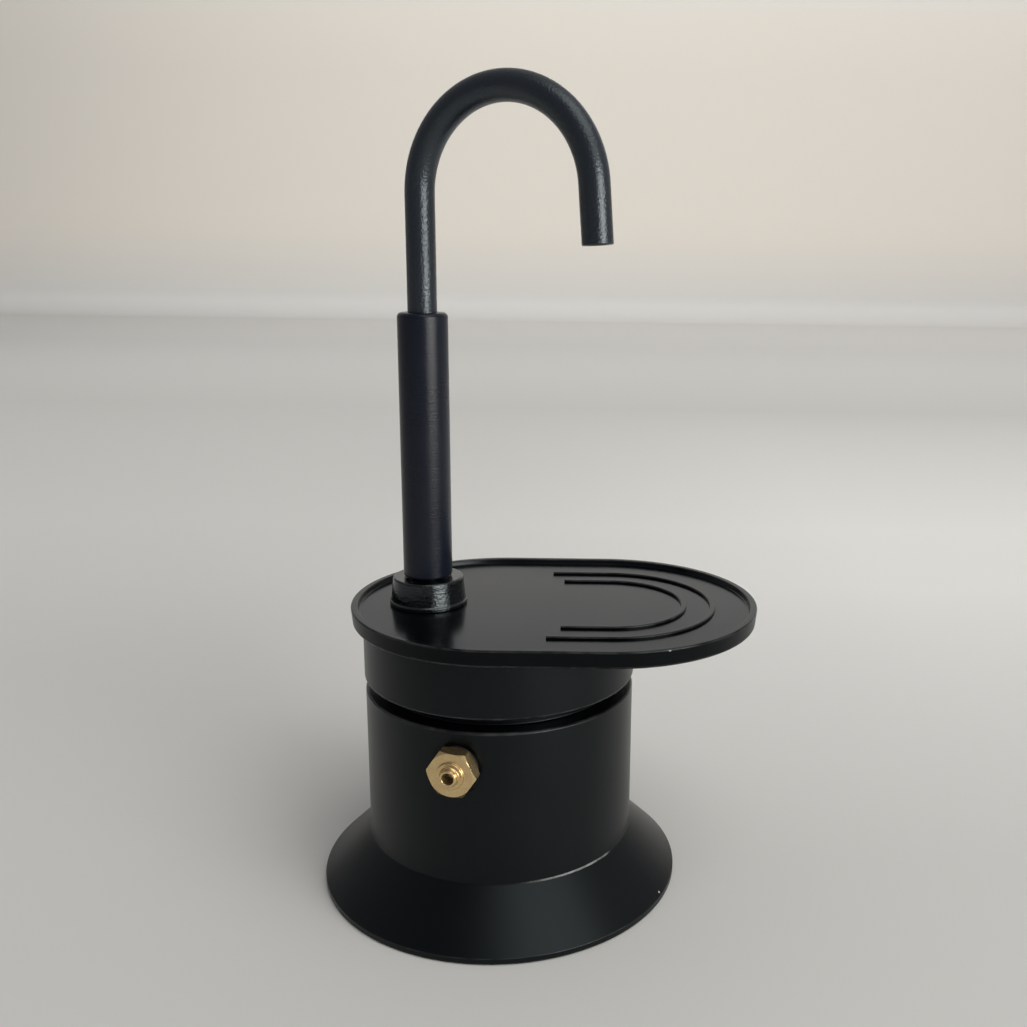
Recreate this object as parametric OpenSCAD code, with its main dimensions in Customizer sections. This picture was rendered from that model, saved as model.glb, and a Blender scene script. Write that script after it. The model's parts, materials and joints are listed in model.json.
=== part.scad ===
// Stovetop espresso maker for one cup: a flared boiler with a brass safety valve,
// a funnel basket, and a screw-on top that carries a cup tray and a swivelling bent spout.
// Millimetres, +Z up. The origin is on the boiler's axis, on the surface that it stands on.
// +X runs along the tray towards the cup, and the safety valve faces about -Y.

/* [Boiler] */
// Outside diameter of the boiler's straight wall
boiler_d = 60; // [56:1:70]
// Outside diameter of the flared base
base_d = 81; // [76:1:100]
// Height of the upright edge round the base
foot_edge = 1.4; // [0.8:0.1:2]
// Height at which the flare meets the straight wall
flare_h = 11.4; // [8:0.2:16]
// Width of the fine turned step between the flare and the straight wall
flare_step = 0.3; // [0.1:0.1:0.8]
// Height of the shoulder on top of the straight wall
shoulder_h = 45.8; // [44:0.2:70]
// Thickness of the boiler's wall
wall_t = 2; // [1.5:0.1:2.6]
// Thickness of the boiler's floor
floor_t = 2.5; // [1.8:0.1:4]
// Width of the shoulder, from the straight wall in to the threaded neck
shoulder_w = 4; // [3.5:0.1:6]
// Height of the threaded neck above the shoulder
neck_h = 8.6; // [8:0.2:14]
// Thickness of the neck's wall
neck_t = 2.2; // [1.6:0.1:3]
// Bevel on turned edges
edge_bevel = 0.5; // [0.2:0.1:0.7]

/* [Safety valve] */
// Distance from the underside of the shoulder down to the valve's axis
valve_drop = 6; // [5.6:0.2:12]
// Direction that the valve faces, in degrees from +X
valve_azimuth = -103; // [-180:1:180]
// Turn of the hexagon about the valve's axis, in degrees
hex_turn = 26; // [0:1:60]
// Size of the hexagon across its flats
hex_af = 9.4; // [8.6:0.1:10.5]
// Thickness of the hexagon
hex_t = 3.2; // [2.4:0.1:4]
// Diameter of the round collar in front of the hexagon
nozzle_collar_d = 5.8; // [4.6:0.1:7]
// Length of the round collar
nozzle_collar_l = 0.7; // [0.6:0.1:2]
// Diameter of the nozzle
nozzle_d = 3.8; // [3.6:0.1:4.4]
// Length of the nozzle
nozzle_l = 1; // [0.8:0.1:4]
// Bore of the nozzle
nozzle_bore_d = 2.5; // [1.8:0.1:2.8]
// Diameter of the shank that goes through the boiler's wall
shank_d = 6; // [5.8:0.1:6.6]
// Bore of the shank, in which the plunger slides
plunger_bore_d = 4; // [3.8:0.1:4.4]
// Length of shank past the nut, inside the boiler
shank_tail = 2.4; // [1.6:0.1:3]
// Thickness of the sealing washer
valve_washer_t = 0.8; // [0.5:0.1:1.2]
// Depth of the flat cut for the washer in the boiler's wall
spot_depth = 0.5; // [0.4:0.1:0.8]
// Depth of the flat cut for the nut inside the boiler's wall
nut_spot_depth = 0.2; // [0.1:0.1:0.4]
// Size of the inner nut across its flats
nut_af = 8.5; // [8:0.1:9]
// Thickness of the inner nut
nut_t = 2.8; // [2:0.1:3]
// Thickness of the seat that closes the shank's inner end
seat_t = 1.5; // [1.2:0.1:2]
// Bore of the seat
seat_bore_d = 1.8; // [1.4:0.1:2.2]
// Length of the plunger's guide
plunger_guide_l = 2; // [1.6:0.1:2.6]
// How far the plunger's nose overlaps the edge of the seat's bore
nose_lap = 0.4; // [0.2:0.1:0.5]
// Length of the plunger's nose
plunger_nose_l = 0.6; // [0.4:0.1:0.8]
// Diameter of the pilot that centres the spring on the plunger
pilot_d = 1.9; // [1.4:0.1:2.1]
// Length of the pilot
pilot_l = 1.4; // [1:0.1:1.8]
// Wire of the valve spring
spring_wire = 0.42; // [0.36:0.02:0.48]
// Metal left in front of the spring
spring_stop_t = 1; // [0.6:0.1:1.6]
// Turns of the valve spring
spring_turns = 5; // [3:0.5:5]

/* [Basket] */
// Space between the basket's cup and the inside of the neck
basket_clear = 5; // [4.6:0.2:9]
// Thickness of the basket's sheet
sheet_t = 0.7; // [0.5:0.1:1]
// Thickness of the flange that hangs on the neck
flange_t = 0.8; // [0.6:0.1:1.4]
// Distance from the neck's outside to the flange's edge
flange_inset = 0.6; // [0.3:0.1:1]
// Depth of the basket, from the flange down to the screen
basket_depth = 15; // [11:0.5:17]
// Height of the cone under the screen
funnel_h = 5; // [4:0.5:7]
// Width of the ledge that the screen lies on
ledge_w = 1; // [0.8:0.1:1.6]
// Outside diameter of the stem
stem_d = 8; // [6.5:0.5:10]
// Length of stem held in the funnel's socket
stem_socket_l = 4; // [3:0.5:7]
// Gap between the stem's foot and the boiler's floor
stem_gap = 4; // [3:0.5:8]
// Thickness of the screen
screen_t = 0.6; // [0.4:0.1:1]
// Diameter of the holes in the screen and the filter plate
hole_d = 1.4; // [0.8:0.1:1.8]
// Distance between the rings of holes
hole_pitch = 3.8; // [3:0.1:4.2]

/* [Top] */
// Gap that shows between the shoulder and the collar
collar_gap = 2.8; // [2:0.2:5]
// How far the collar stands out past the boiler's wall
collar_proud = 0.2; // [0:0.05:2]
// Radial room for the thread between the neck and the collar
thread_room = 1; // [0.8:0.1:1.4]
// Radial room round the gasket
gasket_clear = 0.6; // [0.4:0.1:1]
// Width of the gasket's ring
gasket_w = 6.8; // [6:0.2:7.6]
// Thickness of the gasket
gasket_t = 2; // [1.6:0.1:4]
// Thickness of the filter plate
plate_t = 0.6; // [0.4:0.1:1.2]
// Width of the collar's ledge that presses on the gasket
press_w = 2.7; // [2:0.1:3.4]
// Room round the filter plate's edge
plate_clear = 0.3; // [0.2:0.05:0.5]
// Width of the rim by which the collar holds the filter plate
plate_hold_w = 2.3; // [1.6:0.1:3]
// Height of the chamber above the filter plate
chamber_h = 1.3; // [1:0.1:4]
// Thickness of the collar's roof
roof_t = 1.9; // [1.6:0.1:4]
// Diameter of the round step that centres the tray on the collar
spigot_d = 50; // [46:0.5:54]
// Height of that step
spigot_h = 0.6; // [0.4:0.1:0.9]

/* [Tray] */
// Length of the tray
tray_l = 90.1; // [84:0.1:120]
// Width of the tray
tray_w = 66.9; // [64:0.1:80]
// Distance from the boiler's axis to the rear end of the tray
tray_rear = 32.7; // [31:0.1:44]
// Thickness of the tray's plate
tray_t = 2.7; // [1.8:0.1:4]
// Height of the rim above the plate
rim_h = 1.1; // [0.8:0.1:4]
// Width of the rim's top
rim_w = 1.5; // [1.2:0.1:3]
// How far the side leans in from the rim to the bottom
tray_draft = 0.4; // [0.2:0.1:1.2]
// Radius of the tray's bottom edge
tray_fillet = 0.6; // [0.4:0.1:1]
// How far the ribs' centre lies ahead of the centre of the tray's round end
rib_forward = 0.7; // [0:0.1:3]
// Radius of the outer rib's middle line
outer_rib_r = 22.9; // [21:0.1:27]
// Radius of the inner rib's middle line
inner_rib_r = 16.5; // [10:0.1:19]
// Length of the outer rib's straight arms
outer_arm_l = 13.4; // [4:0.2:16]
// Length of the inner rib's straight arms
inner_arm_l = 10.6; // [4:0.1:14]
// Width of the ribs
rib_w = 1.25; // [0.8:0.05:2]
// Height of the ribs
rib_h = 0.6; // [0.6:0.1:1.6]

/* [Spout] */
// Distance of the spout's column behind the boiler's axis
column_x = 15.9; // [13:0.1:17]
// Rest direction of the spout, in degrees from +X
spout_turn = -26.7; // [-180:0.1:180]
// Outside diameter of the spout's tube
tube_d = 6.2; // [5:0.1:7]
// Wall of the spout's tube
tube_t = 0.8; // [0.5:0.1:1.2]
// Radius of the bend's middle line
bend_r = 20.1; // [16:0.1:30]
// Angle that the tube bends through, 180 for upright legs
bend_angle = 175.5; // [160:0.5:180]
// Height of the bend's centre above the tray's plate
bend_rise = 87.9; // [80:0.1:120]
// Length of the outlet leg below the bend
outlet_l = 11.4; // [4:0.2:30]
// Outside diameter of the grip sleeve
sleeve_d = 10.7; // [9.5:0.1:13]
// Length of the grip sleeve
sleeve_l = 57.4; // [40:0.2:70]
// Radius of the sleeve's rounded ends
sleeve_round = 1; // [0.4:0.1:1.2]
// Diameter of the gland nut's foot
gland_foot_d = 17.1; // [16.5:0.1:20]
// Diameter of the gland nut's top
gland_top_d = 15.4; // [14.5:0.1:16.4]
// Thickness of the gland nut's roof
gland_roof_t = 1.6; // [1.4:0.1:3]
// Diameter of the socket's threaded hub inside the gland nut
hub_d = 12; // [11:0.1:13]
// Height of the hub
hub_h = 1.7; // [1.4:0.1:4]
// Thickness of the washer between the hub and the tray
socket_washer_t = 0.6; // [0.4:0.1:1.2]
// Diameter of the socket's shank through the tray and the roof
socket_shank_d = 9; // [8.2:0.1:10]
// Thickness of the spout's seal
spout_seal_t = 0.8; // [0.5:0.1:2]
// Diameter of the ring on the tube that the gland nut holds down
ferrule_d = 10.6; // [9.6:0.1:10.8]
// Thickness of that ring
ferrule_t = 1.5; // [1:0.1:3]

/* [Fits] */
// Radial clearance of turning and sliding fits
run_clear = 0.05; // [0.02:0.01:0.09]
// Radial clearance between pieces that are fixed to each other
seat_clear = 0.05; // [0.02:0.01:0.2]
// Free gap between a moving piece and a fixed one
free_gap = 0.3; // [0.2:0.05:0.5]

/* [Hidden] */
$fn = 96;
eps = 0.01;

black_metal = "#26272a";
black_grip = "#1b1c20";
brass = "#c29a58";
bare_metal = "#bfc0bf";
spring_steel = "#9b9da0";
seal_rubber = "#d6d2c6";
washer_fibre = "#3a2f2a";

// Radii of the boiler
boiler_r = boiler_d / 2;
boiler_in_r = boiler_r - wall_t;
base_r = base_d / 2;
neck_r = boiler_r - shoulder_w;
neck_in_r = neck_r - neck_t;
flare_top_r = boiler_r + flare_step;
flare_slope = (base_r - flare_top_r) / (flare_h - foot_edge);
flare_inset = wall_t * sqrt(1 + flare_slope * flare_slope);
flare_in_z = foot_edge + (base_r - flare_inset - boiler_in_r) / flare_slope;
base_in_r = base_r - flare_slope * (floor_t - foot_edge) - flare_inset;

// Heights, from the valve up to the spout
shoulder_under = shoulder_h - wall_t;
valve_z = shoulder_under - valve_drop;
neck_top = shoulder_h + neck_h;
flange_top = neck_top + flange_t;
gasket_top = flange_top + gasket_t;
plate_top = gasket_top + plate_t;
roof_z = plate_top + chamber_h;
collar_bottom = shoulder_h + collar_gap;
collar_top = roof_z + roof_t;
tray_floor = collar_top + tray_t;
rim_top = tray_floor + rim_h;
hub_z = tray_floor + socket_washer_t;
hub_top = hub_z + hub_h;
seal_top = hub_top + spout_seal_t;
ferrule_top = seal_top + ferrule_t;
gland_top = ferrule_top + run_clear + gland_roof_t;
sleeve_bottom = gland_top + free_gap;
bend_z = tray_floor + bend_rise;

// Radii inside the collar
collar_r = boiler_r + collar_proud;
collar_bore_r = neck_r + thread_room;
gasket_r = collar_bore_r - gasket_clear;
gasket_in_r = gasket_r - gasket_w;
recess_r = collar_bore_r - press_w;
plate_r = recess_r - plate_clear;
chamber_r = recess_r - plate_hold_w;
spigot_r = spigot_d / 2;

// The basket hangs in the neck by its flange
cup_r = neck_in_r - basket_clear;
cup_in_r = cup_r - sheet_t;
flange_r = neck_r - flange_inset;
ledge_z = flange_top - basket_depth;
screen_r = cup_in_r - seat_clear;
cone_r = cup_in_r - ledge_w;
stem_r = stem_d / 2;
stem_in_r = stem_r - sheet_t;
socket_in_r = stem_r + seat_clear;
cone_bottom = ledge_z - sheet_t - funnel_h;
socket_bottom = cone_bottom - stem_socket_l;
stem_bottom = floor_t + stem_gap;
hole_rings = floor((cone_r - hole_d) / hole_pitch);

// The valve's pieces lie along its own axis, measured outwards from the boiler's axis
washer_u = boiler_r - spot_depth;
hex_u = washer_u + valve_washer_t;
hex_end_u = hex_u + hex_t;
nozzle_collar_u = hex_end_u + nozzle_collar_l;
nozzle_u = nozzle_collar_u + nozzle_l;
nut_face_u = boiler_in_r + nut_spot_depth;
nut_u = nut_face_u - nut_t;
shank_u = nut_u - shank_tail;
seat_u = shank_u + seat_t;
guide_u = seat_u + plunger_nose_l;
spring_u = guide_u + plunger_guide_l;
spring_end_u = hex_end_u - spring_stop_t;
hex_r = hex_af / 2 / cos(30);
nut_r = nut_af / 2 / cos(30);
shank_r = shank_d / 2;
plunger_bore_r = plunger_bore_d / 2;
spring_r = plunger_bore_r - spring_wire;

// The tray's two round ends
tray_end_r = tray_w / 2;
tray_rear_x = tray_end_r - tray_rear;
tray_span = tray_l - tray_w;
tray_front_x = tray_rear_x + tray_span;
cup_x = tray_front_x + rib_forward;

// The spout's tube and its fittings
tube_r = tube_d / 2;
tube_in_r = tube_r - tube_t;
hub_r = hub_d / 2;
socket_shank_r = socket_shank_d / 2;
socket_bore_r = tube_r + run_clear;
ferrule_r = ferrule_d / 2;
sleeve_r = sleeve_d / 2;

// Points of an arc about [x, y], for rounded corners in an outline
function arc(x, y, r, from, to, steps = 4) =
    [for (i = [0:steps]) let (a = from + (to - from) * i / steps) [x + r * cos(a), y + r * sin(a)]];

// Middle line of the valve spring
spring_steps = floor(spring_turns * 8);
spring_rise = spring_end_u - spring_u - spring_wire;
function spring_point(i) =
    let (a = i * 45)
    [spring_r * cos(a), spring_r * sin(a), spring_u + spring_wire / 2 + spring_rise * i / spring_steps];
spring_line = [for (i = [0:spring_steps]) spring_point(i)];
spring_gap = min([
    for (i = [0:spring_steps])
        for (j = [i + 6:1:spring_steps])
            norm(spring_line[j] - spring_line[i])
]) - spring_wire;
echo(spring_gap = spring_gap);

module revolve(outline) {
    rotate_extrude()
        polygon(outline);
}

// A flat ring or a plain tube between two heights
module ring(outer, inner, bottom, top) {
    revolve([[inner, bottom], [outer, bottom], [outer, top], [inner, top]]);
}

// A hexagon with both faces bevelled to a round outline
module hex_prism(r, bottom, top) {
    bevel = r - r * cos(30);
    drop = bevel * tan(30);
    intersection() {
        translate([0, 0, bottom])
            cylinder(r = r, h = top - bottom, $fn = 6);
        revolve([
            [0, bottom], [r - bevel, bottom], [r, bottom + drop],
            [r, top - drop], [r - bevel, top], [0, top]
        ]);
    }
}

// Rings of small holes, six more in each ring
module hole_pattern(bottom, top) {
    for (ring_no = [0:hole_rings])
        for (i = [0:max(0, ring_no * 6 - 1)])
            rotate([0, 0, ring_no == 0 ? 0 : i * 60 / ring_no])
                translate([ring_no * hole_pitch, 0, bottom - eps])
                    cylinder(d = hole_d, h = top - bottom + 2 * eps, $fn = 24);
}

// Turns a shape's +Z to the valve's outward direction
module at_valve() {
    translate([0, 0, valve_z])
        rotate([0, 0, valve_azimuth])
            rotate([0, 90, 0])
                children();
}

module at_column() {
    translate([-column_x, 0, 0])
        children();
}

// Sweeps a half section round the tray's outline
module tray_sweep() {
    translate([tray_rear_x, 0, 0]) {
        rotate([0, 0, 90])
            rotate_extrude(angle = 180)
                children();
        rotate([90, 0, 90])
            linear_extrude(tray_span) {
                children();
                mirror([1, 0])
                    children();
            }
    }
    translate([tray_front_x, 0, 0])
        rotate([0, 0, -90])
            rotate_extrude(angle = 180)
                children();
}

// One raised rib, bent round the cup and open towards the column
module cup_rib(r, arm_l) {
    crown = rib_w / 4;
    section = [
        [-rib_w / 2, -eps], [rib_w / 2, -eps], [rib_w / 2, rib_h - crown],
        [rib_w / 2 - crown, rib_h], [crown - rib_w / 2, rib_h], [-rib_w / 2, rib_h - crown]
    ];
    translate([cup_x, 0, tray_floor]) {
        rotate([0, 0, -90])
            rotate_extrude(angle = 180)
                translate([r, 0])
                    polygon(section);
        for (side = [-1, 1])
            translate([-arm_l, side * r, 0])
                rotate([90, 0, 90])
                    linear_extrude(arm_l)
                        polygon(section);
    }
}

module boiler() {
    hole_r = shank_r + seat_clear;
    nut_spot_r = nut_r + free_gap;
    washer_spot_r = hex_r + free_gap;
    color(black_metal)
        difference() {
            revolve([
                [0, 0], [base_r - edge_bevel, 0], [base_r, edge_bevel], [base_r, foot_edge],
                [flare_top_r, flare_h], [boiler_r, flare_h], [boiler_r, shoulder_h - edge_bevel],
                [boiler_r - edge_bevel, shoulder_h], [neck_r, shoulder_h],
                [neck_r, neck_top - edge_bevel], [neck_r - edge_bevel, neck_top], [neck_in_r, neck_top],
                [neck_in_r, shoulder_under], [boiler_in_r, shoulder_under],
                [boiler_in_r, flare_in_z], [base_in_r, floor_t], [0, floor_t]
            ]);
            at_valve()
                revolve([
                    [0, nut_u], [nut_spot_r, nut_u], [nut_spot_r, nut_face_u], [hole_r, nut_face_u],
                    [hole_r, washer_u], [washer_spot_r, washer_u],
                    [washer_spot_r, nozzle_u], [0, nozzle_u]
                ]);
        }
}

module valve_body() {
    color(brass)
        at_valve()
            difference() {
                union() {
                    rotate([0, 0, hex_turn])
                        hex_prism(hex_r, hex_u, hex_end_u);
                    ring(nozzle_collar_d / 2, 0, hex_u, nozzle_collar_u);
                    ring(nozzle_d / 2, 0, hex_u, nozzle_u);
                    ring(shank_r, 0, shank_u, hex_end_u);
                }
                translate([0, 0, shank_u - eps])
                    cylinder(d = plunger_bore_d, h = spring_end_u - shank_u + eps);
                translate([0, 0, spring_end_u - eps])
                    cylinder(d = nozzle_bore_d, h = nozzle_u - spring_end_u + 2 * eps);
            }
}

module valve_washer() {
    color(washer_fibre)
        at_valve()
            ring(hex_r * cos(30), shank_r + seat_clear, washer_u, hex_u);
}

module valve_nut() {
    color(brass)
        at_valve()
            difference() {
                rotate([0, 0, hex_turn])
                    hex_prism(nut_r, nut_u, nut_face_u);
                translate([0, 0, nut_u - eps])
                    cylinder(r = shank_r + seat_clear, h = nut_t + 2 * eps);
            }
}

module valve_seat() {
    color(brass)
        at_valve()
            ring(plunger_bore_r - seat_clear, seat_bore_d / 2, shank_u, seat_u);
}

module valve_plunger() {
    nose_r = seat_bore_d / 2 + nose_lap;
    color(brass)
        at_valve()
            revolve([
                [0, seat_u], [nose_r, seat_u], [plunger_bore_r - run_clear, guide_u],
                [plunger_bore_r - run_clear, spring_u], [pilot_d / 2, spring_u],
                [pilot_d / 2, spring_u + pilot_l], [0, spring_u + pilot_l]
            ]);
}

// A round wire swept along the spring's middle line, six sides to a ring
module valve_spring() {
    sides = 6;
    last = spring_steps * sides;
    climb = spring_rise / spring_steps * 8 / (2 * PI * spring_r);
    tilt = atan(climb);
    wire = [
        for (i = [0:spring_steps])
            let (a = i * 45)
            for (s = [0:sides - 1])
                let (b = s * 360 / sides, out = cos(b) * spring_wire / 2, up = sin(b) * spring_wire / 2)
                spring_line[i] + [
                    out * cos(a) + up * sin(tilt) * sin(a),
                    out * sin(a) - up * sin(tilt) * cos(a),
                    up * cos(tilt)
                ]
    ];
    walls = [
        for (i = [0:spring_steps - 1])
            for (s = [0:sides - 1])
                let (p = i * sides + s, q = i * sides + (s + 1) % sides)
                each [[p, q, p + sides], [q, q + sides, p + sides]]
    ];
    caps = [
        for (s = [1:sides - 2])
            each [[0, s + 1, s], [last, last + s, last + s + 1]]
    ];
    color(spring_steel)
        at_valve()
            polyhedron(points = wire, faces = concat(walls, caps));
}

module basket_cup() {
    color(bare_metal)
        revolve([
            [cup_in_r, flange_top], [flange_r, flange_top], [flange_r, neck_top], [cup_r, neck_top],
            [cup_r, ledge_z - sheet_t], [cone_r, ledge_z - sheet_t],
            [socket_in_r + sheet_t, cone_bottom], [socket_in_r + sheet_t, socket_bottom],
            [socket_in_r, socket_bottom], [socket_in_r, cone_bottom + sheet_t],
            [cone_r - sheet_t, ledge_z], [cup_in_r, ledge_z]
        ]);
}

module basket_screen() {
    color(bare_metal)
        difference() {
            ring(screen_r, 0, ledge_z, ledge_z + screen_t);
            hole_pattern(ledge_z, ledge_z + screen_t);
        }
}

module basket_stem() {
    color(bare_metal)
        ring(stem_r, stem_in_r, stem_bottom, cone_bottom);
}

module gasket() {
    corner = gasket_t / 5;
    color(seal_rubber)
        revolve([
            [gasket_in_r + corner, flange_top], [gasket_r - corner, flange_top],
            [gasket_r, flange_top + corner], [gasket_r, gasket_top - corner],
            [gasket_r - corner, gasket_top], [gasket_in_r + corner, gasket_top],
            [gasket_in_r, gasket_top - corner], [gasket_in_r, flange_top + corner]
        ]);
}

module filter_plate() {
    color(bare_metal)
        difference() {
            ring(plate_r, 0, gasket_top, plate_top);
            hole_pattern(gasket_top, plate_top);
        }
}

module collar() {
    color(black_metal)
        difference() {
            revolve([
                [0, roof_z], [chamber_r, roof_z], [chamber_r, plate_top], [recess_r, plate_top],
                [recess_r, gasket_top], [collar_bore_r, gasket_top],
                [collar_bore_r, collar_bottom + edge_bevel], [collar_bore_r + edge_bevel, collar_bottom],
                [collar_r - edge_bevel, collar_bottom], [collar_r, collar_bottom + edge_bevel],
                [collar_r, collar_top], [spigot_r, collar_top],
                [spigot_r, collar_top + spigot_h], [0, collar_top + spigot_h]
            ]);
            at_column()
                translate([0, 0, roof_z - eps])
                    cylinder(r = socket_shank_r + seat_clear, h = roof_t + spigot_h + 2 * eps);
        }
}

module tray() {
    bottom_r = tray_end_r - tray_draft;
    bevel = rim_w / 4;
    foot = tray_end_r - rim_w - rim_h / 3;
    half_section = concat(
        [[0, collar_top]],
        arc(bottom_r - tray_fillet, collar_top + tray_fillet, tray_fillet, -90, 0),
        [
            [tray_end_r, rim_top - bevel], [tray_end_r - bevel, rim_top],
            [tray_end_r - rim_w + bevel / 2, rim_top], [tray_end_r - rim_w, rim_top - bevel / 2],
            [foot, tray_floor], [0, tray_floor]
        ]
    );
    color(black_metal) {
        difference() {
            tray_sweep()
                polygon(half_section);
            translate([0, 0, collar_top - eps])
                cylinder(r = spigot_r + seat_clear, h = spigot_h + eps);
            at_column()
                translate([0, 0, collar_top - eps])
                    cylinder(r = socket_shank_r + seat_clear, h = tray_t + 2 * eps);
        }
        cup_rib(outer_rib_r, outer_arm_l);
        cup_rib(inner_rib_r, inner_arm_l);
    }
}

module spout_socket() {
    color(brass)
        at_column()
            revolve([
                [socket_bore_r, roof_z], [socket_shank_r, roof_z], [socket_shank_r, hub_z],
                [hub_r, hub_z], [hub_r, hub_top], [socket_bore_r, hub_top]
            ]);
}

module socket_washer() {
    color(seal_rubber)
        at_column()
            ring(hub_r, socket_shank_r + seat_clear, tray_floor, hub_z);
}

module spout_seal() {
    color(seal_rubber)
        at_column()
            ring(ferrule_r, socket_bore_r, hub_top, seal_top);
}

module gland_nut() {
    foot_r = gland_foot_d / 2;
    top_r = gland_top_d / 2;
    lip = 0.9;
    bevel = 0.6;
    color(black_metal)
        at_column()
            revolve([
                [hub_r + seat_clear, tray_floor], [foot_r - lip / 3, tray_floor], [foot_r, tray_floor + lip / 3],
                [foot_r, tray_floor + lip], [foot_r - lip / 3, tray_floor + lip * 4 / 3],
                [top_r, gland_top - bevel], [top_r - bevel, gland_top],
                [tube_r + free_gap, gland_top], [tube_r + free_gap, ferrule_top + run_clear],
                [hub_r + seat_clear, ferrule_top + run_clear]
            ]);
}

module tube_ferrule() {
    color(bare_metal)
        at_column()
            ring(ferrule_r, tube_r + seat_clear, seal_top, ferrule_top);
}

// Section of the spout's tube, its wall thinner on both faces where it is to fit inside another
module tube_section(thin = 0) {
    difference() {
        circle(tube_r - thin);
        circle(tube_in_r + thin);
    }
}

// A straight leg of the spout, on from one end of its bend
module tube_leg(x, length, thin = 0) {
    translate([x, thin, 0])
        rotate([90, 0, 0])
            linear_extrude(length + thin)
                tube_section(thin);
}

module spout_tube() {
    color(black_metal)
        at_column()
            rotate([0, 0, spout_turn])
                translate([bend_r, 0, bend_z])
                    rotate([90, 0, 0]) {
                        tube_leg(-bend_r, bend_z - roof_z);
                        mirror([1, 0, 0])
                            rotate_extrude(angle = bend_angle)
                                translate([bend_r, 0])
                                    tube_section();
                        rotate([0, 0, 180 - bend_angle])
                            tube_leg(bend_r, outlet_l, eps);
                    }
}

module grip_sleeve() {
    top = sleeve_bottom + sleeve_l;
    bore_r = tube_r + seat_clear;
    color(black_grip)
        at_column()
            revolve(concat(
                [[bore_r, sleeve_bottom]],
                arc(sleeve_r - sleeve_round, sleeve_bottom + sleeve_round, sleeve_round, -90, 0),
                arc(sleeve_r - sleeve_round, top - sleeve_round, sleeve_round, 0, 90),
                [[bore_r, top]]
            ));
}

boiler();
valve_body();
valve_washer();
valve_nut();
valve_seat();
valve_plunger();
valve_spring();
basket_cup();
basket_screen();
basket_stem();
gasket();
filter_plate();
collar();
tray();
spout_socket();
socket_washer();
spout_seal();
gland_nut();
tube_ferrule();
spout_tube();
grip_sleeve();
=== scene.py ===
"""Dresses the frame of a stovetop espresso maker. Outlines are in millimetres, and the scene is in metres."""
import json
import math

import bmesh
import bpy
from mathutils import Matrix, Vector


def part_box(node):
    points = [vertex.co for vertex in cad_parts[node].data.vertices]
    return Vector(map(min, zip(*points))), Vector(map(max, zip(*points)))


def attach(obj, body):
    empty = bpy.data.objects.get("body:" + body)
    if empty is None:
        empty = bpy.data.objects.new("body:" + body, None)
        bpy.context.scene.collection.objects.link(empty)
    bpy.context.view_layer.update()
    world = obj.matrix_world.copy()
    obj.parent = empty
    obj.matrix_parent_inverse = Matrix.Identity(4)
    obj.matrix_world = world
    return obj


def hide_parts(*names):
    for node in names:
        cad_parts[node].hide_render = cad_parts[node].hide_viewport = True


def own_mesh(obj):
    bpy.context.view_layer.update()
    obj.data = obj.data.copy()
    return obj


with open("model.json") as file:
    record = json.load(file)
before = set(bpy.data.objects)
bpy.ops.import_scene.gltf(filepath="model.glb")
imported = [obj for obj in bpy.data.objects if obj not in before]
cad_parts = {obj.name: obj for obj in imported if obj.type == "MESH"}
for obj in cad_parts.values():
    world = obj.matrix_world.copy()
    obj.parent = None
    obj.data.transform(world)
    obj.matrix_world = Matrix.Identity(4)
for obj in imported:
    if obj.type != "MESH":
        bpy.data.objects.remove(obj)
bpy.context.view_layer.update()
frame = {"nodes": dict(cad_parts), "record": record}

MM = 0.001
TAU = 2 * math.pi


def box_mm(node_name):
    """Lowest and highest corner of a CAD node, in millimetres."""
    low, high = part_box(node_name)
    return low / MM, high / MM


# Sizes that the frame gives
_, boiler_high = box_mm("boiler")
collar_low, collar_high = box_mm("collar")
tray_low, tray_high = box_mm("tray")
gland_low, gland_high = box_mm("gland_nut")
sleeve_low, sleeve_high = box_mm("grip_sleeve")
tube_low, tube_high = box_mm("spout_tube")
valve_low, valve_high = box_mm("valve_body")
_, gasket_high = box_mm("gasket")
_, plate_high = box_mm("filter_plate")

BASE_R = boiler_high.x
NECK_TOP = boiler_high.z
COLLAR_R = collar_high.x
COLLAR_BOTTOM = collar_low.z
COLLAR_TOP = tray_low.z
SPIGOT_TOP = collar_high.z
GASKET_TOP = gasket_high.z
PLATE_TOP = plate_high.z
ROOF_Z = tube_low.z
TRAY_FLOOR = gland_low.z
RIM_TOP = tray_high.z
TRAY_END_R = tray_high.y
TRAY_REAR_X = tray_low.x + TRAY_END_R
TRAY_FRONT_X = tray_high.x - TRAY_END_R
COLUMN_X = (gland_low.x + gland_high.x) / 2
GLAND_FOOT_R = gland_high.y
GLAND_TOP = gland_high.z
SLEEVE_R = sleeve_high.y
SLEEVE_BOTTOM = sleeve_low.z
SLEEVE_TOP = sleeve_high.z

# Sizes of the boiler
BOILER_R = 30.0
FOOT_EDGE = 1.4
FLARE_H = 11.4
FLARE_STEP = 0.3
SHOULDER_H = 45.8
WALL = 2.0
FLOOR = 2.5
NECK_R = 26.0
NECK_IN_R = 23.8
FLARE_IN_Z = 10.85
BASE_IN_R = 36.52

# Sizes of the thread between the neck and the collar
PITCH = 3.0
NECK_CREST_R = 26.75
COLLAR_BORE_R = 27.0
COLLAR_ROOT_R = 27.6
THREAD_W = 1.7
THREAD_SINK = 0.05
NECK_THREAD_LOW = SHOULDER_H + 1.6
NECK_THREAD_HIGH = NECK_TOP - 0.9
COLLAR_LEAD_H = 1.0
COLLAR_LEAD_W = 0.5
COLLAR_THREAD_LOW = COLLAR_BOTTOM + COLLAR_LEAD_H + 0.7
COLLAR_THREAD_HIGH = GASKET_TOP - 2.4

# Sizes of the collar's inside
RECESS_R = 24.3
CHAMBER_R = 22.0
SPIGOT_R = 25.0
SOCKET_HOLE_R = 4.55

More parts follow.
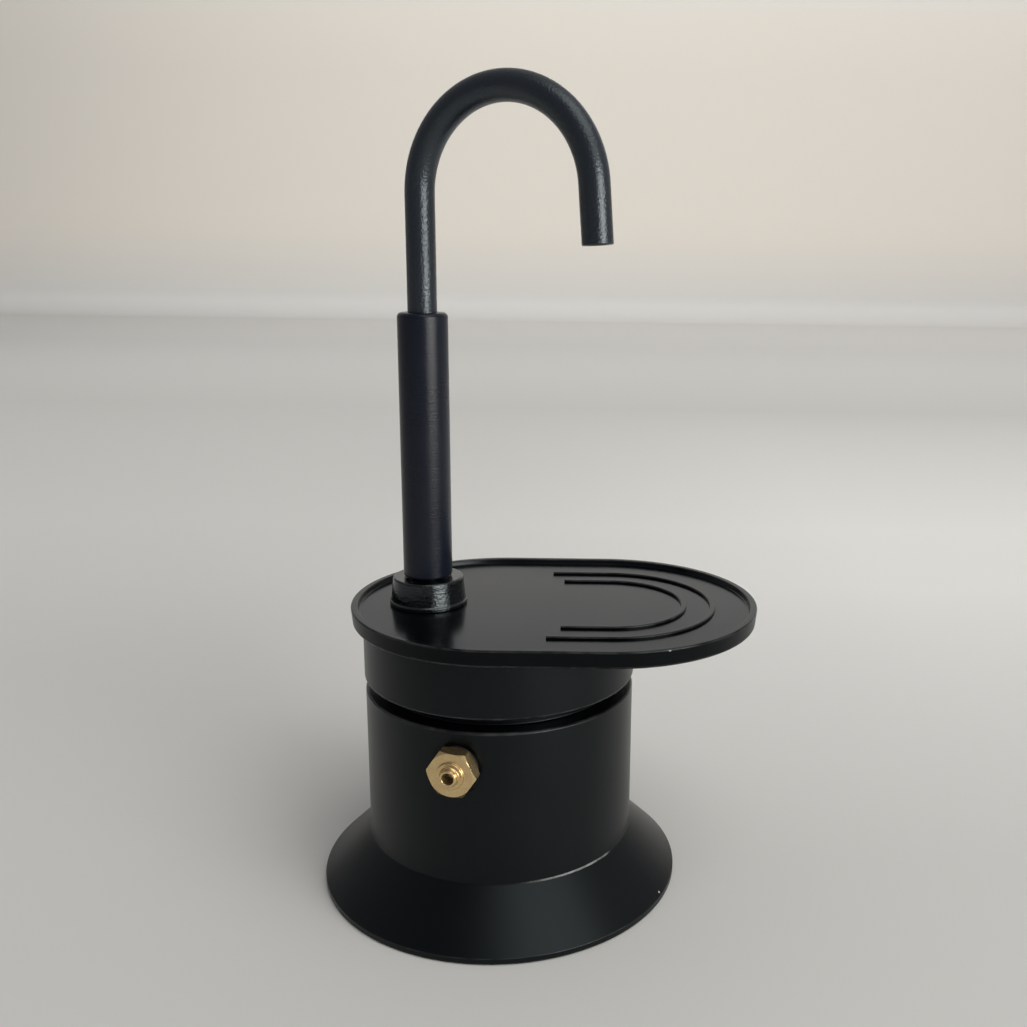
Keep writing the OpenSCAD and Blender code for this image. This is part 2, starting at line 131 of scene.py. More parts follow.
# Sizes of the tray
RIM_W = 1.5
RIM_SLOPE = 0.35
TRAY_DRAFT = 0.4
TRAY_FILLET = 0.6
TRAY_CORE_R = 6.0
RIB_X = 24.65
RIB_W = 1.25
RIB_H = 0.6
RIB_SINK = 0.05
RIBS = {"tray_rib_outer": (22.9, 13.4), "tray_rib_inner": (16.5, 10.6)}

# Sizes of the spout
HUB_R = 6.05
GLAND_TOP_R = 7.7
GLAND_LIP_H = 0.9
GLAND_LIP_W = 0.3
GLAND_GAP = 0.3
GLAND_INSIDE = 68.35
TUBE_R = 3.1
TUBE_IN_R = 2.3
BEND_R = 20.1
BEND_ANGLE = math.radians(175.5)
BEND_Z = tube_high.z - BEND_R - TUBE_R
OUTLET_L = 11.4
SPOUT_TURN = math.radians(-26.7)
SLEEVE_ROUND = 1.0

# Sizes of the safety valve. Those that end in U lie along its axis, and count from the boiler's axis
VALVE_Z = (valve_low.z + valve_high.z) / 2
VALVE_AZIMUTH = math.radians(-103)
HEX_TURN = math.radians(26)
HEX_APOTHEM = 4.7
HEX_FACE_R = 4.7
HEX_BEVEL = math.radians(38)
SHANK_R = 3.0
SHANK_U = 23.0
WASHER_U = 29.5
HEX_U = 30.3
HEX_END_U = 33.5
NOZZLE_COLLAR_U = 34.2
NOZZLE_U = 35.2
NOZZLE_COLLAR_R = 2.9
NOZZLE_R = 1.9
NOZZLE_BORE_R = 1.25
NOZZLE_FOOT_H = 0.3
NOZZLE_LIP_W = 0.15
GROOVE_W = 0.25
GROOVE_DEPTH = 0.15
PLUNGER_BORE_R = 2.0
SPRING_U = 27.1
SPRING_END_U = 32.5
SPRING_R = 1.58
SPRING_WIRE_R = 0.21
SPRING_TURNS = 5
SPOT_R = 5.73

# Where the wall behind the object stands, in metres
WALL_Y = 1.94

# Gap where a piece seats on another, and how far a cutter reaches past what it cuts
SEAT_GAP = 0.05
CUT_PAST = 1.0

# Radii of rounded corners, from the crispest to the softest
HAIR_ROUND = 0.1
NOZZLE_ROUND = 0.12
FINE_ROUND = 0.15
CRISP_ROUND = 0.2
SLIGHT_ROUND = 0.25
SMALL_ROUND = 0.3
MILD_ROUND = 0.35
EDGE_ROUND = 0.5
INNER_ROUND = 0.6

# How finely the shapes are divided, and the radius where the flat caps of open outlines begin
CORE_R = 1.0
ARC_STEP = math.radians(11)
SUPPORT = 0.04
SHARP_ANGLE = math.radians(32)
BODY_COUNT = 240
TRAY_COUNT = 256
RECESS_COUNT = 160
FITTING_COUNT = 144
SMALL_COUNT = 96
TUBE_COUNT = 64


def rounded(corners, closed=True):
    """Outline through (r, z, radius) corners, anticlockwise, each rounded by an arc.

    Returns (r, z, edge) points. Edge is 1 on an outer corner's arc, -1 on an inner one's and 0 elsewhere.
    A point close to each end of an arc keeps the straight stretches flat in the shading."""
    points = []
    last = len(corners) - 1
    for i, (r, z, radius) in enumerate(corners):
        here = Vector((r, z))
        if radius == 0 or (not closed and i in (0, last)):
            points.append((r, z, 0.0))
            continue
        before = (Vector(corners[i - 1][:2]) - here).normalized()
        after = (Vector(corners[(i + 1) % (last + 1)][:2]) - here).normalized()
        half = before.angle(after) / 2
        reach = radius / math.tan(half)
        centre = here + (before + after).normalized() * radius / math.sin(half)
        spoke = here + before * reach - centre
        turn = math.pi - 2 * half
        steps = max(2, math.ceil(turn / ARC_STEP))
        side = math.copysign(1.0, before.y * after.x - before.x * after.y)
        ahead = here + before * (reach + SUPPORT)
        points.append((ahead.x, ahead.y, 0.0))
        for k in range(steps + 1):
            spun = Matrix.Rotation(side * turn * k / steps, 2) @ spoke
            points.append((centre.x + spun.x, centre.y + spun.y, side))
        past = here + after * (reach + SUPPORT)
        points.append((past.x, past.y, 0.0))
    return points


def divided(rows, step, closed=False):
    """Adds rows so that none lies further than step from the next."""
    made = []
    pairs = zip(rows, rows[1:] + rows[:1]) if closed else zip(rows, rows[1:])
    for (r0, z0, e0), (r1, z1, _) in pairs:
        parts = max(1, math.ceil(math.hypot(r1 - r0, z1 - z0) / step))
        for k in range(parts):
            f = k / parts
            made.append((r0 + (r1 - r0) * f, z0 + (z1 - z0) * f, e0 if k == 0 else 0.0))
    if not closed:
        made.append(rows[-1])
    return made


def mesh_object(name, points, faces, edge):
    """Object with smooth faces, sharp edges where they meet at an angle, and the edge attribute for wear."""
    mesh = bpy.data.meshes.new(name)
    mesh.from_pydata(points, [], faces)
    mesh.attributes.new("edge", "FLOAT", "POINT").data.foreach_set("value", edge)
    shell = bmesh.new()
    shell.from_mesh(mesh)
    bmesh.ops.recalc_face_normals(shell, faces=shell.faces)
    shell.to_mesh(mesh)
    shell.free()
    shade(mesh)
    made = bpy.data.objects.new(name, mesh)
    bpy.context.scene.collection.objects.link(made)
    return made


def shade(mesh):
    """Smooth shading up to the sharp angle."""
    mesh.polygons.foreach_set("use_smooth", [True] * len(mesh.polygons))
    mesh.set_sharp_from_angle(angle=SHARP_ANGLE)


def value(entry, turn):
    """A row's number, or what its function gives at that part of a turn."""
    return entry(turn) if callable(entry) else entry


def loft(name, points, edge, count, closed=False):
    """Joins rings of count points into one shell. A closed one joins its last ring to its first, and an open
    one gets a flat cap at each end."""
    rings = len(points) // count
    faces = []
    for k in range(rings if closed else rings - 1):
        low = k * count
        high = (k + 1) % rings * count
        for i in range(count):
            j = (i + 1) % count
            faces.append((low + i, low + j, high + j, high + i))
    if not closed:
        faces.append(tuple(reversed(range(count))))
        faces.append(tuple(range((rings - 1) * count, rings * count)))
    return mesh_object(name, points, faces, edge)


def skin(name, rows, place, count, closed=False):
    """Shell with a ring for each row. A row is (r, z, edge), and place(turn, r, z) gives a point's place."""
    turns = [i / count for i in range(count)]
    points = [place(t, value(r, t), value(z, t)) * MM for r, z, _ in rows for t in turns]
    edge = [e for _, _, e in rows for _ in turns]
    return loft(name, points, edge, count, closed)


def about_axis(x=0.0):
    """Places points round an upright axis."""
    def place(turn, r, z):
        a = TAU * turn
        return Vector((x + r * math.cos(a), r * math.sin(a), z))
    return place


def along_valve(turn, r, u):
    """Places points round the valve's axis."""
    a = TAU * turn
    side = r * math.sin(a)
    east = u * math.cos(VALVE_AZIMUTH) - side * math.sin(VALVE_AZIMUTH)
    north = u * math.sin(VALVE_AZIMUTH) + side * math.cos(VALVE_AZIMUTH)
    return Vector((east, north, VALVE_Z - r * math.cos(a)))


def along_spout(turn, r, s):
    """Places points round the spout's middle line, s from the tube's foot."""
    a = TAU * turn
    rise = BEND_Z - ROOF_Z
    bend = min(max((s - rise) / BEND_R, 0.0), BEND_ANGLE)
    leg = s - rise - bend * BEND_R
    out = BEND_R * (1 - math.cos(bend)) + leg * math.sin(bend)
    up = BEND_Z + BEND_R * math.sin(bend) + leg * math.cos(bend)
    out += r * math.cos(a) * math.cos(bend)
    up -= r * math.cos(a) * math.sin(bend)
    side = r * math.sin(a)
    x = COLUMN_X + out * math.cos(SPOUT_TURN) - side * math.sin(SPOUT_TURN)
    y = out * math.sin(SPOUT_TURN) + side * math.cos(SPOUT_TURN)
    return Vector((x, y, up))


def round_tray(count):
    """Places points round the tray's outline: half of them on its front end, and half on its rear end."""
    half = count // 2

    def place(turn, r, z):
        i = round(turn * count)
        front = i < half
        a = math.pi * ((i % half) / (half - 1) + (-0.5 if front else 0.5))
        x = TRAY_FRONT_X if front else TRAY_REAR_X
        return Vector((x + r * math.cos(a), r * math.sin(a), z))
    return place


def helix(name, place, root_r, crest_r, low, high):
    """A thread's ridge. Its section is a trapezium, which sinks into the root at both ends of the run."""
    per_turn = 72
    fade = per_turn / 4
    foot_half = THREAD_W / 2
    crest_half = THREAD_W / 5
    steps = round((high - low) / PITCH * per_turn)
    sunk = root_r - math.copysign(THREAD_SINK, crest_r - root_r)
    points = []
    for i in range(steps + 1):
        grow = min(1.0, i / fade, (steps - i) / fade)
        z = low + (high - low) * i / steps
        crest = root_r + (crest_r - root_r) * grow
        section = ((sunk, -foot_half), (crest, -crest_half), (crest, crest_half), (sunk, foot_half))
        points += [place(i / per_turn, r, z + dz) * MM for r, dz in section]
    return loft(name, points, [0.0] * len(points), len(section))


def cut(target, *cutters):
    """Takes the cutters out of the target, for good."""
    for cutter in cutters:
        hole = target.modifiers.new(cutter.name, "BOOLEAN")
        hole.object = cutter
        hole.solver = "EXACT"
    graph = bpy.context.evaluated_depsgraph_get()
    target.data = bpy.data.meshes.new_from_object(target.evaluated_get(graph))
    target.modifiers.clear()
    for cutter in cutters:
        bpy.data.objects.remove(cutter)
    shade(target.data)


def dress(piece, body, slot, material, *nodes):
    """Gives a new piece its body, its finish and the CAD nodes that it stands for."""
    piece.data.materials.clear()
    piece.data.materials.append(material)
    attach(piece, body)
    if nodes:
        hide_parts(*nodes)


def plug(name, place, r, low, high, count=SMALL_COUNT):
    """A plain round cutter."""
    return skin(name, [(r, low, 0.0), (r, high, 0.0)], place, count)


def node(material, kind, links=None, **settings):
    """Adds a shader node. Settings are its properties, and links its inputs: values or outputs of others."""
    tree = material.node_tree
    made = tree.nodes.new(kind)
    for key, setting in settings.items():
        setattr(made, key, setting)
    for key, source in (links or {}).items():
        if isinstance(source, bpy.types.NodeSocket):
            tree.links.new(source, made.inputs[key])
        else:
            made.inputs[key].default_value = source
    return made


def new_material(name, sockets):
    """Material with a Principled shader. Sockets are its constant inputs."""
    material = bpy.data.materials.new(name)
    material.use_nodes = True
    shader = material.node_tree.nodes["Principled BSDF"]
    for socket, setting in sockets.items():
        shader.inputs[socket].default_value = setting
    return material, shader


def noise(material, scale, detail=2.0, stretch=(1.0, 1.0, 1.0), turn=(0.0, 0.0, 0.0)):
    """Noise fixed to the object, scale in cycles a metre."""
    spot = node(material, "ShaderNodeTexCoord").outputs["Object"]
    links = {"Vector": spot, "Scale": stretch, "Rotation": turn}
    spot = node(material, "ShaderNodeMapping", links).outputs["Vector"]
    links = {"Vector": spot, "Scale": scale, "Detail": detail}
    return node(material, "ShaderNodeTexNoise", links).outputs["Fac"]


def axes(material, kind="Object"):
    """A point's three coordinates on the object, or the three parts of a direction in the room."""
    way = node(material, "ShaderNodeTexCoord").outputs[kind]
    parts = node(material, "ShaderNodeSeparateXYZ", {"Vector": way})
    return parts.outputs["X"], parts.outputs["Y"], parts.outputs["Z"]


def remap(material, source, low, high, to_low=0.0, to_high=1.0):
    """Maps a range of a value to another, clamped."""
    links = {"Value": source, "From Min": low, "From Max": high, "To Min": to_low, "To Max": to_high}
    return node(material, "ShaderNodeMapRange", links).outputs["Result"]


def math_node(material, operation, a, b):
    """One operation on two values."""
    return node(material, "ShaderNodeMath", {0: a, 1: b}, operation=operation).outputs["Value"]


def mix(material, factor, a, b):
    """Mixes two colours."""
    return node(material, "ShaderNodeMix", {0: factor, 6: a, 7: b}, data_type="RGBA").outputs[2]


def bump(material, height, distance, normal=None):
    """Bump of a height in metres."""
    links = {"Height": height, "Distance": distance, "Strength": 1.0}
    if normal is not None:
        links["Normal"] = normal
    return node(material, "ShaderNodeBump", links).outputs["Normal"]


def feed(material, shader, **sources):
    """Links outputs to the shader's sockets."""
    for socket, source in sources.items():
        material.node_tree.links.new(source, shader.inputs[socket.replace("_", " ")])


def grey(level, warm=0.0):
    """A neutral colour, a little warmer or colder."""
    return (level * (1 + warm), level, level * (1 - warm), 1.0)


def nick(material, tone, spot, radius):
    """Shows bare metal on a small chip of the coat, centre and radius in millimetres."""
    way = node(material, "ShaderNodeTexCoord").outputs["Object"]
    links = {0: way, 1: Vector(spot) * MM}
    away = node(material, "ShaderNodeVectorMath", links, operation="DISTANCE").outputs["Value"]
    core = 0.7 * radius
    bare = grey(0.35)
    return mix(material, remap(material, away, core * MM, radius * MM, 1.0, 0.0), tone, bare)


def painted_crease_highlight(material, tone, edge):
    """Paints a highlight, a pale line broken by noise, along the right front of the crease between the
    boiler's wall and its flare.
    """
    # Pale tone of the painted crease highlight
    bare = grey(0.22)
    x, y, z = axes(material)
    starts = ((x, 6.0, 17.0), (z, 9.0, 9.5))
    stops = ((x, 23.5, 25.5), (y, -4.0, 0.0), (z, 14.0, 14.5))
    broken = remap(material, noise(material, 500.0), 0.3, 0.6, 0.3, 1.0)
    mask = math_node(material, "MULTIPLY", remap(material, edge, -1.0, -0.4, 1.0, 0.0), broken)
    ends = [remap(material, axis, low * MM, high * MM) for axis, low, high in starts]
    ends += [remap(material, axis, low * MM, high * MM, 1.0, 0.0) for axis, low, high in stops]
    for end in ends:
        mask = math_node(material, "MULTIPLY", mask, end)
    return mix(material, mask, tone, bare)


def black_coat(name, dark, pale, rough, rough_spread, specular, peel_scale, peel_depth, wear=0.0, nicks=()):
    """Black coat on metal: clouded tone and gloss, a fine skin and dust. Where it wears, edges are rubbed
    paler and smoother. The boiler's crease gets a painted highlight at its right front."""
    cool = (0.84, 0.95, 1.0, 1.0)
    dust_tone = grey(0.11, 0.05)
    rubbed_tone = grey(0.035)
    material, shader = new_material(name, {"Specular IOR Level": specular, "Specular Tint": cool})
    cloud = noise(material, 60.0, 3.0)
    tone = mix(material, remap(material, cloud, 0.35, 0.7), dark, pale)
    dust = remap(material, noise(material, 2600.0, 1.0), 0.78, 0.84, 0.0, 0.3)
    tone = mix(material, dust, tone, dust_tone)
    smear = noise(material, 25.0, 4.0, (1.0, 1.0, 0.4))
    gloss = remap(material, smear, 0.3, 0.7, rough - rough_spread, rough + rough_spread)
    if wear:
        edge = node(material, "ShaderNodeAttribute", attribute_name="edge").outputs["Fac"]
        rubbed = remap(material, noise(material, 300.0, 3.0), 0.35, 0.65, 0.2, 1.0)
        rubbed = math_node(material, "MULTIPLY", remap(material, edge, 0.0, 1.0), rubbed)
        tone = mix(material, math_node(material, "MULTIPLY", rubbed, wear), tone, rubbed_tone)
        # Painted highlight: a pale line on the crease at the boiler's right front, where the light catches it
        tone = painted_crease_highlight(material, tone, edge)
        gloss = math_node(material, "SUBTRACT", gloss, math_node(material, "MULTIPLY", rubbed, 0.1))
    for spot, radius in nicks:
        tone = nick(material, tone, spot, radius)
    skin_height = noise(material, peel_scale, 2.0)
    feed(material, shader, Base_Color=tone, Roughness=gloss, Normal=bump(material, skin_height, peel_depth))
    return material


def grip_plastic():
    """Blue-black satin plastic with fine lines round the sleeve."""
    material, shader = new_material("grip_plastic", {"Specular IOR Level": 0.3})
    cloud = noise(material, 150.0, 3.0)
    tone = mix(material, cloud, (0.0025, 0.004, 0.0105, 1.0), (0.004, 0.006, 0.014, 1.0))
    lines = noise(material, 140.0, 3.0, (1.0, 1.0, 26.0))
    grain = noise(material, 3000.0, 1.0)
    gloss = remap(material, cloud, 0.3, 0.7, 0.26, 0.33)
    normal = bump(material, lines, 0.00002)
    feed(material, shader, Base_Color=tone, Roughness=gloss, Normal=bump(material, grain, 0.00002, normal))
    return material


def turned_metal(name, colour, dark, rough, line_scale, depth, turn=(0.0, 0.0, 0.0)):
    """Bare turned metal: fine lines along the lathe's feed, clouded tarnish and uneven gloss."""
    material, shader = new_material(name, {"Metallic": 0.92})
    cloud = noise(material, 260.0, 4.0)
    tone = mix(material, remap(material, cloud, 0.4, 0.75, to_high=0.6), colour, dark)
    lines = noise(material, line_scale, 2.0, (0.05, 0.05, 1.0), turn)
    gloss = remap(material, noise(material, 700.0, 3.0), 0.3, 0.7, rough * 0.75, rough * 1.25)
    feed(material, shader, Base_Color=tone, Roughness=gloss, Normal=bump(material, lines, depth))
    return material


def soft_ring(name, colour, dark, rough):
    """Rubber or fibre: mottled, with a fine matte grain."""
    material, shader = new_material(name, {"Specular IOR Level": 0.35, "Roughness": rough})
    tone = mix(material, noise(material, 400.0, 4.0), colour, dark)
    feed(material, shader, Base_Color=tone, Normal=bump(material, noise(material, 2400.0, 2.0), 0.00003))
    return material


def make_boiler(material):
    """Flared boiler with its neck, cut for the valve, and the neck's thread."""
    under = SHOULDER_H - WALL
    outline = rounded([
        (CORE_R, 0.0, 0.0), (BASE_R, 0.0, MILD_ROUND), (BASE_R, FOOT_EDGE, CRISP_ROUND),
        (BOILER_R, FLARE_H + FLARE_STEP, EDGE_ROUND),
        (BOILER_R, SHOULDER_H, EDGE_ROUND), (NECK_R, SHOULDER_H, SMALL_ROUND),
        (NECK_R, NECK_TOP, EDGE_ROUND), (NECK_IN_R, NECK_TOP, SMALL_ROUND),
        (NECK_IN_R, under, CRISP_ROUND), (BOILER_R - WALL, under, INNER_ROUND),
        (BOILER_R - WALL, FLARE_IN_Z, INNER_ROUND), (BASE_IN_R, FLOOR, INNER_ROUND), (CORE_R, FLOOR, 0.0),
    ], closed=False)
    piece = skin("boiler_shell", divided(outline, step=2.5), about_axis(), BODY_COUNT)
    spot = plug("spot_cut", along_valve, SPOT_R, WASHER_U, NOZZLE_U)
    hole = plug("hole_cut", along_valve, SHANK_R + SEAT_GAP, SHANK_U, NOZZLE_U)
    cut(piece, spot, hole)
    dress(piece, "boiler", "black_aluminium", material, "boiler")
    thread = helix("neck_thread", about_axis(), NECK_R, NECK_CREST_R, NECK_THREAD_LOW, NECK_THREAD_HIGH)
    dress(thread, "boiler", "black_aluminium", material)


def make_collar(material):
    """Ring with the roof that the gasket and the plate sit under, threaded inside."""
    lead_r = COLLAR_ROOT_R + COLLAR_LEAD_W
    lead_z = COLLAR_BOTTOM + COLLAR_LEAD_H
    outline = rounded([
        (CORE_R, ROOF_Z, 0.0), (CHAMBER_R, ROOF_Z, SMALL_ROUND), (CHAMBER_R, PLATE_TOP, 0.0),
        (RECESS_R, PLATE_TOP, 0.0), (RECESS_R, GASKET_TOP, HAIR_ROUND),
        (COLLAR_ROOT_R, GASKET_TOP, CRISP_ROUND), (COLLAR_ROOT_R, lead_z, CRISP_ROUND),
        (lead_r, COLLAR_BOTTOM, FINE_ROUND), (COLLAR_R, COLLAR_BOTTOM, EDGE_ROUND),
        (COLLAR_R, COLLAR_TOP, HAIR_ROUND), (SPIGOT_R, COLLAR_TOP, 0.0),
        (SPIGOT_R, SPIGOT_TOP, HAIR_ROUND), (CORE_R, SPIGOT_TOP, 0.0),
    ], closed=False)
    piece = skin("collar_ring", outline, about_axis(), BODY_COUNT)
    hole = plug("socket_cut", about_axis(COLUMN_X), SOCKET_HOLE_R, ROOF_Z - CUT_PAST, SPIGOT_TOP + CUT_PAST)
    cut(piece, hole)
    dress(piece, "top", "black_aluminium", material, "collar")
    thread = helix("collar_thread", about_axis(), COLLAR_ROOT_R, COLLAR_BORE_R, COLLAR_THREAD_LOW,
                   COLLAR_THREAD_HIGH)
    dress(thread, "top", "black_aluminium", material)


def make_tray(side, top):
    """Oblong tray with a leaning side, a rim and a plain floor, and the two bent ribs for the cup. What faces
    up has a smoother coat."""
    facing_up = 0.3
    bottom_r = TRAY_END_R - TRAY_DRAFT
    foot_r = TRAY_END_R - RIM_W - RIM_SLOPE
    low = COLLAR_TOP - CUT_PAST
    outline = rounded([
        (TRAY_CORE_R, COLLAR_TOP, 0.0), (bottom_r, COLLAR_TOP, TRAY_FILLET),
        (TRAY_END_R, RIM_TOP, MILD_ROUND), (TRAY_END_R - RIM_W, RIM_TOP, SMALL_ROUND),
        (foot_r, TRAY_FLOOR, SLIGHT_ROUND), (TRAY_CORE_R, TRAY_FLOOR, 0.0),
    ], closed=False)
    piece = skin("cup_tray", outline, round_tray(TRAY_COUNT), TRAY_COUNT)
    recess = plug("recess_cut", about_axis(), SPIGOT_R + SEAT_GAP, low, SPIGOT_TOP, RECESS_COUNT)
    hole = plug("socket_cut", about_axis(COLUMN_X), SOCKET_HOLE_R, low, TRAY_FLOOR + CUT_PAST)
    cut(piece, recess, hole)
    dress(piece, "top", "black_aluminium", side, "tray")
    piece.data.materials.append(top)
    for face in piece.data.polygons:
        face.material_index = int(face.normal.z > facing_up)
    for name, (r, arm) in RIBS.items():
        dress(make_rib(name, r, arm), "top", "black_aluminium", top)


def make_rib(name, r, arm):
    """One raised rib: straight arm, half circle, straight arm, with square ends."""
    half = RIB_W / 2
    foot = TRAY_FLOOR - RIB_SINK
    crown = TRAY_FLOOR + RIB_H
    steps = 72
    section = rounded([
        (-half, foot, 0.0), (half, foot, 0.0), (half, crown, SMALL_ROUND), (-half, crown, SMALL_ROUND),
    ])
    bends = [math.pi * (k / steps - 0.5) for k in range(steps + 1)]
    stations = [(RIB_X + r * math.cos(a), r * math.sin(a), math.cos(a), math.sin(a)) for a in bends]
    stations = [(RIB_X - arm, -r, 0.0, -1.0)] + stations + [(RIB_X - arm, r, 0.0, 1.0)]
    points = [Vector((x + d * nx, y + d * ny, z)) * MM for x, y, nx, ny in stations for d, z, _ in section]
    edge = [e for _ in stations for _, _, e in section]
    return loft(name, points, edge, len(section))


def make_gland_nut(material):
    """Truncated cone with a lip at its foot."""
    bore = TUBE_R + GLAND_GAP
    lip_z = TRAY_FLOOR + GLAND_LIP_H
    outline = rounded([
        (HUB_R, TRAY_FLOOR, 0.0), (GLAND_FOOT_R, TRAY_FLOOR, SLIGHT_ROUND),
        (GLAND_FOOT_R, lip_z, SMALL_ROUND), (GLAND_FOOT_R - GLAND_LIP_W, lip_z + GLAND_LIP_W, SMALL_ROUND),
        (GLAND_TOP_R, GLAND_TOP, EDGE_ROUND), (bore, GLAND_TOP, SMALL_ROUND),
        (bore, GLAND_INSIDE, 0.0), (HUB_R, GLAND_INSIDE, 0.0),
    ])
    piece = skin("gland_cone", outline, about_axis(COLUMN_X), FITTING_COUNT, closed=True)
    dress(piece, "top", "black_steel", material, "gland_nut")


def make_sleeve(material):
    """Plain grip with rounded ends."""
    bore = TUBE_R + SEAT_GAP
    outline = rounded([
        (bore, SLEEVE_BOTTOM, 0.0), (SLEEVE_R, SLEEVE_BOTTOM, EDGE_ROUND),
        (SLEEVE_R, SLEEVE_TOP, SLEEVE_ROUND), (bore, SLEEVE_TOP, FINE_ROUND),
    ])
    rows = divided(outline, step=6.0, closed=True)
    piece = skin("column_grip", rows, about_axis(COLUMN_X), SMALL_COUNT, closed=True)
    dress(piece, "spout", "black_grip", material, "grip_sleeve")


def make_tube(material):
    """Bent tube with a softened outlet."""
    length = BEND_Z - ROOF_Z + BEND_ANGLE * BEND_R + OUTLET_L
    outline = rounded([
        (TUBE_IN_R, 0.0, 0.0), (TUBE_R, 0.0, 0.0), (TUBE_R, length, SLIGHT_ROUND),
        (TUBE_IN_R, length, CRISP_ROUND),
    ])
    piece = skin("spout_pipe", divided(outline, step=1.2, closed=True), along_spout, TUBE_COUNT, closed=True)
    dress(piece, "spout", "black_steel", material, "spout_tube")


def hex_radius(turn):
    """Distance from the valve's axis to the hexagon's side."""
    sixth = math.pi / 3
    return HEX_APOTHEM / math.cos((TAU * turn - HEX_TURN) % sixth - sixth / 2)


def hex_bevel(turn):
    """How far the bevel cuts the hexagon's corner down."""
    return (hex_radius(turn) - HEX_FACE_R) * math.tan(HEX_BEVEL)


def make_valve(material):
    """Safety valve: bored shank, bevelled hexagon, round collar and nozzle in one turned piece."""
    groove_r = NOZZLE_R + GROOVE_W
    groove_u = NOZZLE_COLLAR_U - GROOVE_DEPTH
    foot_u = NOZZLE_COLLAR_U + NOZZLE_FOOT_H
    lip_r = NOZZLE_R - NOZZLE_LIP_W
    front = rounded([
        (HEX_FACE_R, HEX_END_U, 0.0), (NOZZLE_COLLAR_R, HEX_END_U, NOZZLE_ROUND),
        (NOZZLE_COLLAR_R, NOZZLE_COLLAR_U, SLIGHT_ROUND), (groove_r, groove_u, CRISP_ROUND),
        (NOZZLE_R, foot_u, SMALL_ROUND), (lip_r, NOZZLE_U, SLIGHT_ROUND),
        (NOZZLE_BORE_R, NOZZLE_U, FINE_ROUND), (NOZZLE_BORE_R, SPRING_END_U, 0.0),
        (PLUNGER_BORE_R, SPRING_END_U, 0.0), (PLUNGER_BORE_R, SHANK_U, 0.0),
        (SHANK_R, SHANK_U, SMALL_ROUND), (SHANK_R, HEX_U, 0.0), (HEX_FACE_R, HEX_U, 0.0),
    ], closed=False)
    rows = front + [
        (hex_radius, lambda t: HEX_U + hex_bevel(t), 1.0),
        (hex_radius, lambda t: HEX_END_U - hex_bevel(t), 1.0),
    ]
    piece = skin("valve_turning", rows, along_valve, FITTING_COUNT, closed=True)
    dress(piece, "boiler", "brass", material, "valve_body")


def make_spring(material):
    """Round wire coil that the plunger presses together against the end of the valve's bore."""
    per_turn = 24
    sides = 10
    steps = SPRING_TURNS * per_turn
    rise = SPRING_END_U - SPRING_U - 2 * SPRING_WIRE_R
    points = []
    for i in range(steps + 1):
        u = SPRING_U + SPRING_WIRE_R + rise * i / steps
        for k in range(sides):
            b = TAU * k / sides
            out = SPRING_WIRE_R * math.cos(b)
            along = SPRING_WIRE_R * math.sin(b)
            points.append(along_valve(i / per_turn, SPRING_R + out, u + along) * MM)
    piece = loft("valve_coil", points, [0.0] * len(points), sides)
    dress(piece, "boiler", "bare_steel", material, "valve_spring")
    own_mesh(piece)


def make_materials():
    """Every finish, by the name of the record's slot, and three finer ones."""
    across = (0.0, math.pi / 2, VALVE_AZIMUTH)
    satin = {"dark": grey(0.001, -0.4), "pale": grey(0.0018, -0.35), "wear": 0.8, "peel_scale": 2200.0}
    gloss = {"dark": (0.007, 0.0085, 0.013, 1.0), "pale": (0.009, 0.011, 0.016, 1.0)}
    jet = {"dark": grey(0.0008, -0.3), "pale": grey(0.0016, -0.3)}
    brass = (0.66, 0.49, 0.255, 1.0)
    tarnish = (0.48, 0.345, 0.16, 1.0)
    flare_nicks = [((36.4, -16.54, 1.9), 0.3)]
    tray_nicks = [((36.0, -31.1, 64.6), 0.35)]
    return {
        "black_aluminium": black_coat("satin_coat", rough=0.33, rough_spread=0.05, specular=0.23,
                                      peel_depth=0.000008, nicks=flare_nicks, **satin),
        "tray_side": black_coat("tray_side_coat", rough=0.34, rough_spread=0.05, specular=0.12,
                                peel_depth=0.00001, nicks=tray_nicks, **satin),
        "tray_top": black_coat("tray_top_coat", rough=0.2, rough_spread=0.03, specular=0.2,
                               peel_depth=0.000003, **satin),
        "black_steel": black_coat("gloss_coat", rough=0.3, rough_spread=0.05, specular=0.6,
                                  peel_scale=2000.0, peel_depth=0.0001, **gloss),
        "nut_coat": black_coat("nut_coat", rough=0.16, rough_spread=0.03, specular=0.65,
                               peel_scale=1800.0, peel_depth=0.00008, **jet),
        "black_grip": grip_plastic(),
        "brass": turned_metal("turned_brass", brass, tarnish, 0.25, 2600.0, 0.00001, across),
        "bare_aluminium": turned_metal("spun_aluminium", grey(0.8), grey(0.62), 0.34, 1800.0, 0.00001),
        "bare_steel": turned_metal("drawn_steel", grey(0.6), grey(0.45), 0.28, 2600.0, 0.00001),
        "pale_rubber": soft_ring("pale_rubber", (0.70, 0.67, 0.60, 1.0), (0.62, 0.59, 0.52, 1.0), 0.55),
        "dark_fibre": soft_ring("dark_fibre", (0.012, 0.010, 0.009, 1.0), (0.022, 0.018, 0.015, 1.0), 0.7),
    }


def dress_nodes(materials):
    """Gives every CAD node the finish of its slot."""
    for part in frame["record"]["subparts"]:
        shown = frame["nodes"][part["node"]]
        shown.data.materials.clear()
        shown.data.materials.append(materials[part["material_slot"]])


